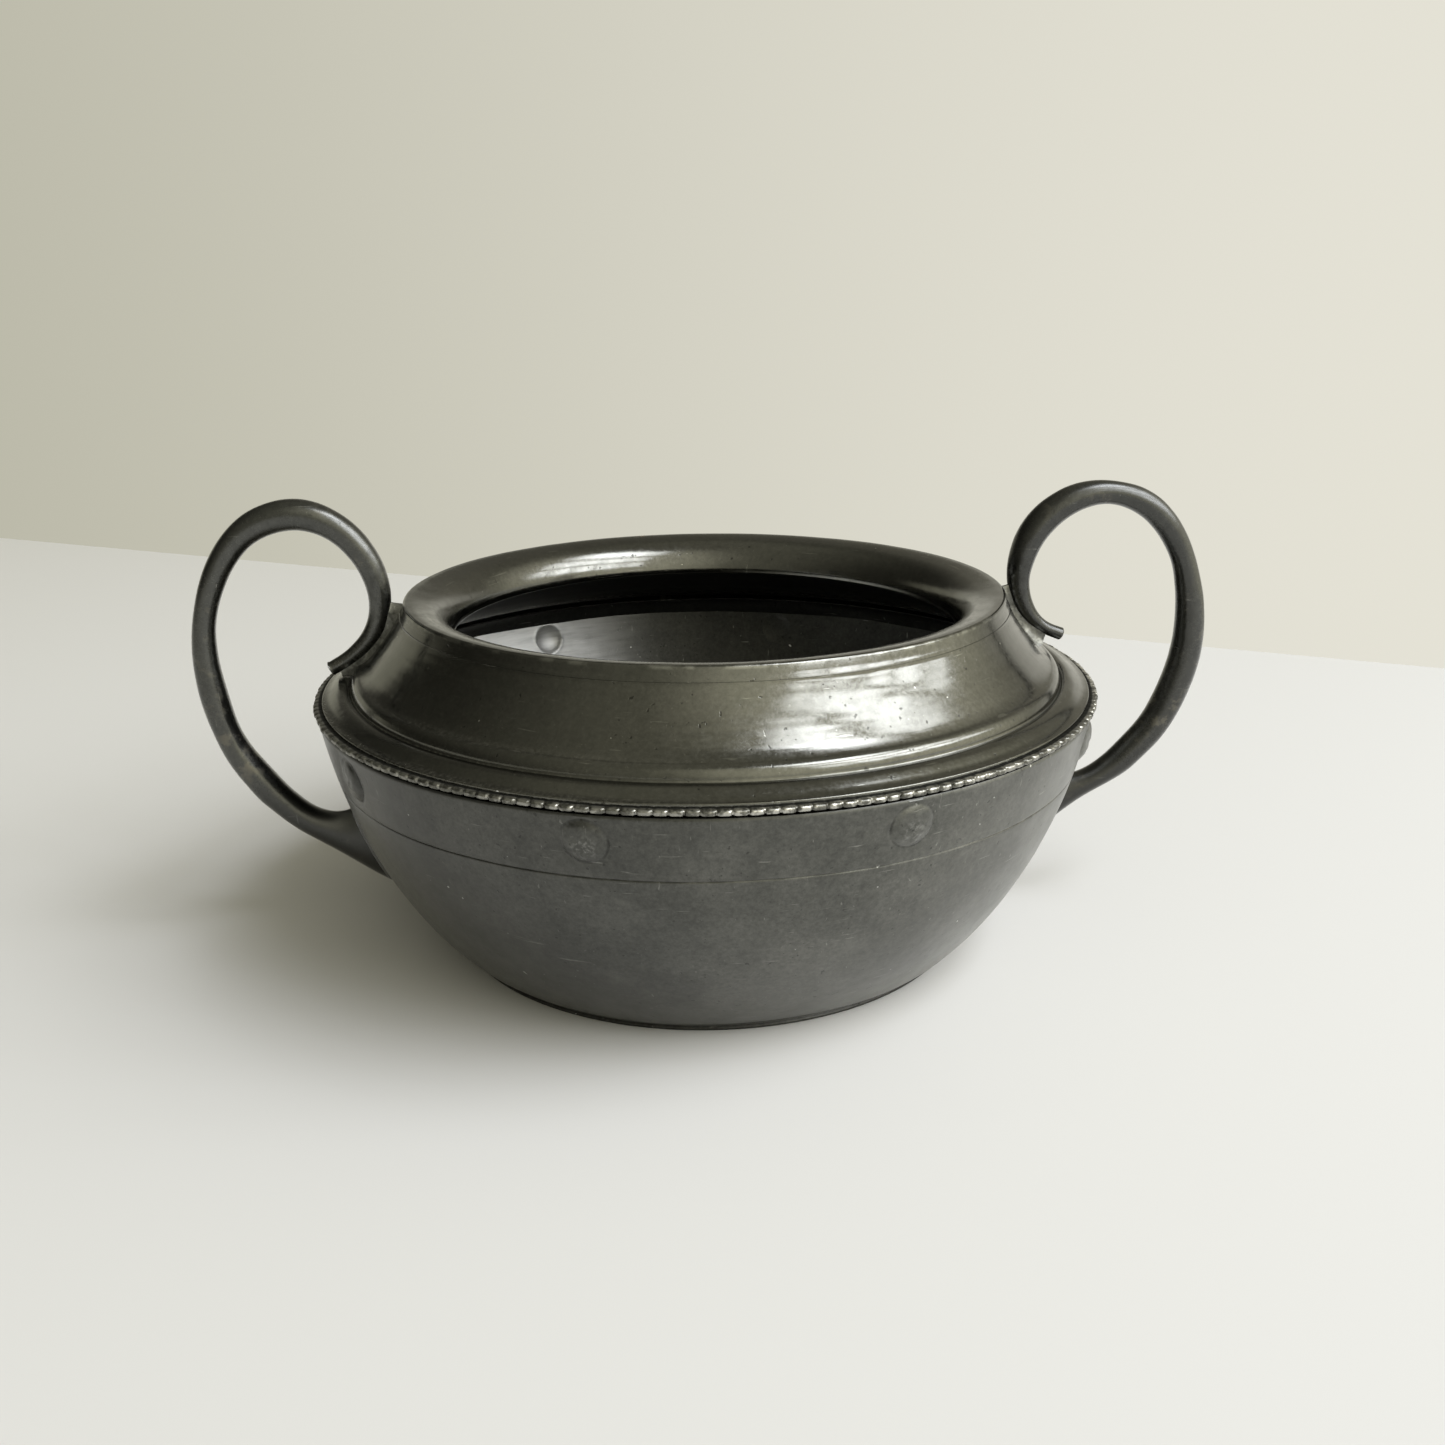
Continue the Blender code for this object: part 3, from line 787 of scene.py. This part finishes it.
def make_lower_bowl(material, inside_material):
    fine_low = BOSS_Z - BOSS_FALL - 3.9
    fine_z = np.arange(fine_low, BOWL_TOP - 0.5, 0.33)
    groove = [SCRIBED_Z + offset for offset in (-0.30, -0.16, -0.08, 0.0, 0.08, 0.16, 0.30)]
    heights = sorted(
        [z for z in np.arange(1.9, fine_low, 0.9) if abs(z - SCRIBED_Z) > 0.45]
        + groove
        + [z for z in fine_z if abs(z - SCRIBED_Z) > 0.45]
        + [BOWL_TOP - 0.25]
    )
    outer = [(bowl_radius(z), z) for z in heights]
    base = arc((FOOT_R - 0.15, BOWL_LOW + 0.75), (0.75, 0.75), -10.0, -90.0, 5)
    middle = BOWL_LOW + 1.5
    under = divided([(FOOT_R - 1.2, BOWL_LOW), (30.0, BOWL_LOW + 0.02), (12.0, BOWL_LOW + 0.3)], 2.5)
    under += divided([(10.0, BOWL_LOW + 0.31), (0.4, BOWL_LOW + 0.34)], 2.5)
    floor = [(0.4, middle + 0.06), (12.0, middle + 0.03), (30.0, middle - 0.25), (34.0, middle - 0.3)]
    floor = divided(floor, 2.5)
    corner = smooth_line([(35.0, middle - 0.28), (37.4, middle + 0.05), (39.3, middle + 1.3)], 0.6).tolist()
    inner_heights = [*np.arange(5.0, fine_low, 1.0), *np.arange(fine_low + 0.3, BOWL_TOP - 0.2, 0.33)]
    inner = [(bowl_radius(z) - WALL_ACROSS, z) for z in inner_heights]
    top = [(bowl_radius(BOWL_TOP) - WALL_ACROSS + 0.05, BOWL_TOP), (bowl_radius(BOWL_TOP) - 0.2, BOWL_TOP)]

    hollow = floor + corner + inner
    first_inner, last_inner = len(floor) + len(corner), len(hollow)
    first_outer = last_inner + len(top)
    angles = bowl_angles()
    points, outward = turned_grid(hollow + top + outer[::-1] + base + under, angles)
    side = np.zeros(points.shape[:-1])
    side[first_outer : first_outer + len(outer)] = 1.0
    inside = np.zeros(points.shape[:-1])
    inside[first_inner:last_inner] = 1.0

    raised = dome(boss_field(points, BOSS_R))
    push = side * raised * (BOSS_TALL + uneven(points, 0.9, 0.16, 10.0) + uneven(points, 2.0, 0.12, 11.0))
    struck = DIMPLE_DEEP * np.clip(0.45 - points[..., 0] / 40.0, 0.25, 1.0)
    push -= inside * struck * dome(boss_field(points, DIMPLE_R))
    push -= side * 0.14 * np.exp(-(((points[..., 2] - SCRIBED_Z) / 0.11) ** 2))
    edge = np.clip((BOWL_TOP - points[..., 2]) / 3.0, 0.0, 1.0)
    push += side * edge * (uneven(points, 16.0, 0.10, 1.0) + uneven(points, 5.0, 0.030, 2.0))
    push += inside * edge * uneven(points, 13.0, 0.12, 3.0)
    piece = grid_mesh("lower_bowl_skin", points + outward * push[..., None])
    finish_piece(piece, material, "pewter_body", "lower_bowl")
    piece.data.materials.append(inside_material)
    for face in piece.data.polygons[: last_inner * len(angles)]:
        face.material_index = 1
    return piece


def make_foot_ring(material):
    inner_r = FOOT_R - FOOT_RING_WIDE
    profile = (
        divided([(inner_r, 0.05), (inner_r, FOOT_TOP), (FOOT_R - 0.3, FOOT_TOP + 0.28)], 0.8)
        + arc((FOOT_R - 0.3, 0.3), (0.3, 0.3), 60.0, -60.0, 6)
        + [(FOOT_R - 0.6, 0.0), (inner_r + 0.15, 0.0)]
    )
    points, _ = turned_grid(profile, even_angles(240))
    points[..., :2] *= (1.0 + uneven(points, 9.0, 0.0012, 4.0))[..., None]
    points[..., 2] = np.maximum(points[..., 2], 0.0)
    return finish_piece(grid_mesh("foot_ring_skin", points), material, "pewter_foot", "foot_ring")


def collar_outside():
    """From the neck's top edge down the wall, over the cove, the two rolls and the flange."""
    neck = [(44.95, NECK_TOP), (44.99, NECK_TOP - 0.004)]
    wall = [(45.05, 50.45), (45.3, 49.95), (45.6, 49.4), (46.05, 48.6)]
    wall = smooth_line([*wall, (47.15, 46.95), (48.5, 45.25), (49.6, 43.98)], 0.3)
    wall[:, 0] += 0.005 * np.sin(wall[:, 1] * 4.1) + 0.004 * np.sin(wall[:, 1] * 6.7 + 1.0)
    cove = smooth_line([(49.95, 43.6), (50.45, 43.15), (50.95, 42.78), (51.25, 42.62)], 0.22)
    roll_one = smooth_line([(51.4, 42.58), (51.85, 42.32), (52.2, 41.92), (52.42, 41.4), (52.5, 41.0)], 0.16)
    groove = [(52.56, 40.70), (52.72, 40.58), (52.9, 40.72)]
    roll_two = smooth_line([(53.1, 40.86), (53.7, 40.88), (54.4, 40.7), (55.0, 40.36), (55.5, 40.02)], 0.2)
    flange = smooth_line([(55.75, 39.86), (56.1, 39.72), (56.45, 39.62)], 0.2)
    edge = arc((FLANGE_R - 0.15, 39.45), (0.15, 0.15), 80.0, 0.0, 3) + [(FLANGE_R, BEAD_LOW)]
    lines = (neck, wall, cove, roll_one, groove, roll_two, flange, edge)
    return [tuple(point) for line in lines for point in line]


def collar_inside():
    seat = [(54.9, BEAD_LOW), (54.7, 38.6)]
    shoulder = smooth_line([(54.2, 39.2), (52.6, 39.6), (51.5, 40.2), (50.2, 41.6), (48.6, 43.2)], 0.6)
    neck = smooth_line([(48.2, 43.7), (46.2, 46.0), (44.2, 48.7), (43.1, NECK_TOP)], 1.0)
    return [tuple(point) for line in (seat, shoulder, neck) for point in line]


def make_collar(material):
    inner = collar_inside()
    points, outward = turned_grid(inner + collar_outside(), even_angles(ROUND_STEPS))
    wave = uneven(points, 15.0, 0.055, 5.0) + uneven(points, 4.5, 0.016, 6.0)
    # The flange's lower edge, the seat and the neck's top stay even, because other pieces meet them.
    wave[-4:] = 0.0
    wave[:2] = 0.0
    wave[len(inner) - 1 : len(inner) + 3] = 0.0
    piece = grid_mesh("shoulder_collar_skin", points + outward * wave[..., None])
    return finish_piece(piece, material, "pewter_collar", "shoulder_collar")


def rim_profile():
    seat_z = NECK_TOP + RIM_GAP
    spigot = [(42.2, 49.7), (41.0, 49.7)]
    under = smooth_line([(40.8, 50.5), (39.6, 49.9), (38.7, 48.6), (38.25, 47.2)], 0.5)
    lip = arc((MOUTH_R + 0.45, 47.1), (0.4, 0.35), 0.0, -180.0, 8)
    rise = smooth_line(
        [
            (MOUTH_R + 0.06, 47.6),
            (MOUTH_R + 0.3, 48.7),
            (MOUTH_R + 0.85, 49.95),
            (MOUTH_R + 1.8, 51.15),
            (MOUTH_R + 3.0, 51.95),
            (MOUTH_R + 4.4, 52.4),
            (MOUTH_R + 5.6, RIM_TOP - 0.06),
            (MOUTH_R + 6.4, RIM_TOP - 0.02),
        ],
        0.35,
    )
    roll = arc((RIM_R - 1.03, RIM_TOP - 0.55), (0.52, 0.54), 84.0, 25.0, 9)
    side = [(RIM_R - 0.40, 51.6), (RIM_R - 0.20, 51.15), (RIM_R, seat_z + 0.05), (RIM_R, seat_z)]
    seat = [(44.3, seat_z), (42.4, seat_z)]
    lines = (spigot, under, lip, rise, roll, side, seat)
    return [tuple(point) for line in lines for point in line]


def make_rim(material):
    points, outward = turned_grid(rim_profile(), even_angles(ROUND_STEPS))
    wave = uneven(points, 12.0, 0.045, 7.0) + uneven(points, 3.0, 0.012, 8.0)
    room = np.clip((RIM_R - 0.06 - np.hypot(points[..., 0], points[..., 1])) / 0.5, 0.0, 1.0)
    points = points + outward * (wave * room - RIM_INSET)[..., None]
    points[..., 2] = np.minimum(points[..., 2], RIM_TOP)
    return finish_piece(grid_mesh("mouth_rim_skin", points), material, "pewter_rim", "mouth_rim")


def make_bead_wire(material):
    """A wire rolled into small blocks with rounded ends, each a little different and worn."""
    steps = 12
    count = BEAD_COUNT * steps
    angles = np.array(even_angles(count))
    phase = (np.arange(count) % steps + 0.5) / steps
    bead = np.arange(count) // steps
    random = np.random.default_rng(11)
    reach = random.uniform(0.80, 1.0, BEAD_COUNT)[bead]
    tall = random.uniform(0.84, 1.0, BEAD_COUNT)[bead]
    lift = random.uniform(-0.04, 0.04, BEAD_COUNT)[bead]
    shape = (1.0 - np.abs(2.0 * phase - 1.0) ** 6.0) ** 0.5
    middle_z = (BEAD_LOW + BEAD_TOP) / 2
    half = (BEAD_TOP - BEAD_LOW) / 2 - 0.03
    inner_r = FLANGE_R - 0.1
    deep = BEAD_R - inner_r
    sections = 14
    rows = []
    for section in range(sections):
        turn = -math.pi / 2 + math.pi * section / (sections - 1)
        across = abs(math.cos(turn)) ** 0.55
        upward = math.copysign(abs(math.sin(turn)) ** 0.55, math.sin(turn))
        radius = inner_r + deep * across * (0.34 + 0.66 * shape * reach)
        height = middle_z + half * upward * (0.70 + 0.30 * shape * tall) + lift * shape * 0.5
        rows.append(np.stack([radius * np.cos(angles), radius * np.sin(angles), height], axis=-1))
    back_r, back_z = np.full(count, inner_r - 0.4), np.full(count, middle_z + half * 0.7)
    rows.append(np.stack([back_r * np.cos(angles), back_r * np.sin(angles), back_z], axis=-1))
    piece = grid_mesh("bead_wire_skin", np.array(rows))
    return finish_piece(piece, material, "pewter_bead", "bead_wire")


def make_seam(material):
    """The uneven fillet of solder inside the bowl, under the collar's seat."""
    top = BEAD_LOW - 0.05
    wall_r = bowl_radius(36.5) - WALL_ACROSS + 0.1
    profile = [
        (wall_r, top),
        (wall_r - 0.1, top - 3.0),
        (wall_r - 0.5, top - 2.2),
        (wall_r - 0.85, top - 1.2),
        (wall_r - 1.15, top - 0.4),
        (wall_r - 1.5, top),
    ]
    points, outward = turned_grid(profile, even_angles(ROUND_STEPS))
    keep = np.array([0.0, 0.2, 0.8, 1.0, 0.8, 0.1])[:, None]
    wave = (uneven(points, 5.0, 0.12, 9.0) + uneven(points, 14.0, 0.30, 12.0)) * keep
    piece = grid_mesh("seam_solder_skin", points + outward * wave[..., None])
    return finish_piece(piece, material, "solder", "seam_solder")


# ---- handles -------------------------------------------------------------------------------------


def rod_stations(rod):
    """The rod's two edges in the handle's plane, and its thickness across it, at even steps along it."""
    line = smooth_line(rod, 0.7)
    along = np.gradient(line[:, :2], axis=0)
    along /= np.linalg.norm(along, axis=1, keepdims=True)
    normal = np.stack([-along[:, 1], along[:, 0]], axis=1)
    half = line[:, 2:3] / 2
    return line[:, :2] + normal * half, line[:, :2] - normal * half, line[:, 2]


def loft(name, rings):
    """A closed mesh through equal rings of points in mm, with its two ends filled."""
    count, around = rings.shape[:2]
    faces = [tuple(range(around)), tuple((count - 1) * around + column for column in range(around))]
    for row in range(count - 1):
        for column in range(around):
            right = (column + 1) % around
            low_row, high_row = row * around, (row + 1) * around
            faces.append((low_row + column, low_row + right, high_row + right, high_row + column))
    return add_mesh(name, rings.reshape(-1, 3) * MM, faces)


def roughened(rings, *waves):
    """The rings pushed in and out by uneven waves of (size, reach, seed)."""
    outward = rings - rings.mean(axis=1, keepdims=True)
    outward /= np.linalg.norm(outward, axis=2, keepdims=True)
    push = sum(uneven(rings, *wave) for wave in waves)
    return rings + outward * push[..., None]


def make_handle(name, rod, foot, side, squareness, spur_end, material, seed):
    """A bent rod from its cut spur to its fan foot. A squareness of 1 is an ellipse; less is boxier."""
    outer, inner, wide = rod_stations(rod)
    upper = np.array([row[0] for row in foot])
    if np.linalg.norm(inner[-1] - upper[0]) > np.linalg.norm(outer[-1] - upper[0]):
        outer, inner = inner, outer
    fan = [np.concatenate([inner[-1], outer[-1], [wide[-1]]])]
    for (up, down), width in zip(foot, FOOT_WIDE):
        fan.append(np.concatenate([up, down, [width]]))
    fan = smooth_line(fan, 0.7)
    stations = np.vstack([np.column_stack([inner, outer, wide])[:-1], fan])
    for _ in range(EASING_ROUNDS):
        stations[1:-1] = (stations[:-2] + 2 * stations[1:-1] + stations[2:]) / 4
    edge_a, edge_b, across = stations[:, 0:2], stations[:, 2:4], stations[:, 4]

    around = 32
    turns = np.array(even_angles(around))
    cosine = np.copysign(np.abs(np.cos(turns)) ** squareness, np.cos(turns))
    sine = np.copysign(np.abs(np.sin(turns)) ** squareness, np.sin(turns))
    rings = []
    for a, b, width in zip(edge_a, edge_b, across):
        spots = (a + b) / 2 + np.outer(cosine, (a - b) / 2)
        rings.append(np.stack([side * spots[:, 0], width / 2 * sine, spots[:, 1]], axis=1))
    rings = roughened(np.array(rings), (7.0, 0.13, seed), (2.5, 0.025, seed + 1))
    middle = rings[0].mean(axis=0)
    way = middle - rings[1].mean(axis=0)
    way /= np.linalg.norm(way)
    ends = [middle + (rings[0] - middle) * grow + way * push for grow, push in spur_end]
    piece = loft(name, np.concatenate([ends, rings]))
    return finish_piece(piece, material, "pewter_handle", name[: -len("_skin")])


def make_top_solder(name, web, side, material, seed):
    """The web of solder between a handle's spur and the neck; rows go from the rim to the shoulder.

    Each row is the point in the rod, the point in the wall, and how wide the web is at both and between.
    """
    rows = smooth_line([(*rod, *wall, *wide) for rod, wall, wide in web], 0.35)
    steps = np.linspace(0.0, 1.0, 9)
    rings = []
    for rod_x, rod_z, wall_x, wall_z, rod_wide, middle_wide, wall_wide in rows:
        half = np.interp(steps, (0.0, 0.5, 1.0), (rod_wide, middle_wide, wall_wide)) / 2
        x, z = rod_x + (wall_x - rod_x) * steps, rod_z + (wall_z - rod_z) * steps
        front = np.stack([side * x, half, z], axis=1)
        back = np.stack([side * x, -half, z], axis=1)
        rings.append(np.concatenate([front, back[::-1]]))
    rings = roughened(np.array(rings), (3.0, 0.12, seed), (1.2, 0.04, seed + 1))
    return finish_piece(loft(name, rings), material, "solder", name[: -len("_skin")])


def make_foot_solder(name, foot, side, material, seed):
    """A thin, uneven pad of solder round a handle's foot on the bowl's wall."""
    top_z, low_z = foot[-1][0][1] + 0.9, foot[-1][1][1] - 0.8
    rings = []
    for step in np.linspace(0.0, 1.0, 40):
        z = top_z + (low_z - top_z) * step
        swell = max(1.0 - abs(2.0 * step - 1.0) ** 5, 0.02) ** 0.5
        half = (FOOT_WIDE[-1] / 2 + 0.7) * swell
        offsets = np.concatenate([np.linspace(-1.0, 1.0, 13), np.linspace(1.0, -1.0, 13)])
        lifts = np.concatenate([0.42 * (1.0 - np.linspace(-1.0, 1.0, 13) ** 4) * swell, np.full(13, -0.5)])
        y = half * offsets
        x = np.sqrt(bowl_radius(z) ** 2 - y**2) + lifts
        rings.append(np.stack([side * x, y, np.full(26, z)], axis=1))
    rings = roughened(np.array(rings), (1.8, 0.10, seed))
    return finish_piece(loft(name, rings), material, "solder", name[: -len("_skin")])


def main():
    bpy.context.scene.view_settings.view_transform = "Standard"
    make_camera()
    make_world()
    make_lights()
    make_stage()

    # The side pairs paint light and shade across X: the body lighter towards +X and darker towards -X, the
    # rim a little lighter towards +X, and the handles darker towards +X.
    body = pewter(
        "aged_pewter_body", rgb(0.136, 0.136, 0.123), rgb(0.070, 0.071, 0.064), 0.37, 0.0,
        grain=0.5, cloud=0.55, painted_side_light=(0.56, 1.34), film=0.5, marks=body_marks,
    )
    inside = pewter(
        "aged_pewter_inside", rgb(0.062, 0.062, 0.056), rgb(0.038, 0.038, 0.035), 0.46, 7.0,
        grain=0.5, cloud=0.4, turned=0.6, marks=inside_marks,
    )
    collar = pewter(
        "aged_pewter_collar", rgb(0.150, 0.149, 0.133), rgb(0.122, 0.122, 0.109), 0.17, 11.0,
        grain=0.25, cloud=0.3, turned=0.15, dents=1.6, marks=collar_marks,
    )
    rim = pewter(
        "aged_pewter_rim", rgb(0.144, 0.143, 0.129), rgb(0.112, 0.112, 0.101), 0.17, 17.0,
        grain=0.25, cloud=0.3, turned=0.15, painted_side_light=(0.95, 1.15), marks=rim_marks,
    )
    bead = pewter(
        "worn_pewter_bead", rgb(0.20, 0.198, 0.175), rgb(0.09, 0.088, 0.078), 0.38, 23.0,
        grain=0.9, cloud=0.2, marks=bead_marks,
    )
    foot = pewter("aged_pewter_foot", rgb(0.08, 0.08, 0.075), rgb(0.045, 0.045, 0.042), 0.5, 29.0, grain=0.8)
    handle = pewter(
        "aged_pewter_handle", rgb(0.076, 0.077, 0.070), rgb(0.050, 0.051, 0.046), 0.25, 31.0,
        grain=0.40, cloud=0.4, turned=0.0, dents=1.5, painted_side_light=(1.05, 0.70), film=0.8, marks=handle_marks,
    )
    solder = pewter(
        "dull_solder", rgb(0.18, 0.18, 0.165), rgb(0.12, 0.12, 0.11), 0.38, 37.0,
        grain=0.5, turned=0.0, marks=solder_marks,
    )
    seam = pewter(
        "dark_seam", rgb(0.055, 0.055, 0.05), rgb(0.035, 0.035, 0.032), 0.45, 43.0,
        grain=0.3, turned=0.0,
    )

    make_lower_bowl(body, inside)
    make_foot_ring(foot)
    make_collar(collar)
    make_rim(rim)
    make_bead_wire(bead)
    make_seam(seam)
    make_handle(
        "left_handle_skin", LEFT_ROD, LEFT_FOOT, -1.0, LEFT_SQUARENESS, LEFT_SPUR_END, handle, 41.0
    )
    make_handle(
        "right_handle_skin", RIGHT_ROD, RIGHT_FOOT, 1.0, RIGHT_SQUARENESS, RIGHT_SPUR_END, handle, 47.0
    )
    make_top_solder("left_handle_top_solder_skin", LEFT_WEB, -1.0, solder, 51.0)
    make_top_solder("right_handle_top_solder_skin", RIGHT_WEB, 1.0, solder, 53.0)
    make_foot_solder("left_handle_foot_solder_skin", LEFT_FOOT, -1.0, solder, 55.0)
    make_foot_solder("right_handle_foot_solder_skin", RIGHT_FOOT, 1.0, solder, 57.0)


main()
